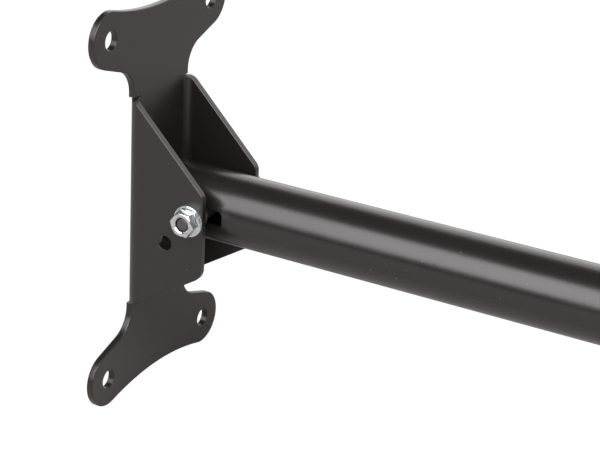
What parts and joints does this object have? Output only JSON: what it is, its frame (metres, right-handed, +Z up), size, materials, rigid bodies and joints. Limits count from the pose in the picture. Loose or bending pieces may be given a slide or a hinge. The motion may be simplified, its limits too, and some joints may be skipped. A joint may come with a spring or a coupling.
{
  "type": "kip bar",
  "caption": "Round black steel bar held at each end in a folded wall bracket, with a four-hole waisted plate, two side cheeks and a through-bolt pivot.",
  "frame": {"origin": "middle of the bar, on its axis", "axes": "+X along the bar to the right end, -Y the side with the nuts, +Z up"},
  "size_m": [1, 0.131, 0.232],
  "materials": {
    "black_powder_coat": "semi-gloss black powder coat with fine orange peel",
    "zinc": "bright zinc plate",
    "black_steel": "blackened and oiled",
    "nylon": "moulded black nylon",
    "black_plastic": "moulded black plastic"
  },
  "bodies": {
    "bar": {"bar_tube": "black_powder_coat", "left_end_plug": "black_plastic", "right_end_plug": "black_plastic"},
    "left_wall_bracket": {"left_bracket": "black_powder_coat", "left_pivot_bolt": "black_steel", "left_flange_nut": "zinc", "left_front_spacer": "nylon", "left_rear_spacer": "nylon"},
    "right_wall_bracket": {"right_bracket": "black_powder_coat", "right_pivot_bolt": "black_steel", "right_flange_nut": "zinc", "right_front_spacer": "nylon", "right_rear_spacer": "nylon"}
  },
  "joints": [
    {"name": "left_pivot", "type": "hinge", "parent": "bar", "child": "left_wall_bracket", "pos_m": [-0.4575, 0, 0], "axis": [0, 1, 0], "range_deg": [-90, 90]},
    {"name": "right_pivot", "type": "hinge", "parent": "bar", "child": "right_wall_bracket", "pos_m": [0.4575, 0, 0], "axis": [0, 1, 0], "range_deg": [-90, 90]}
  ]
}
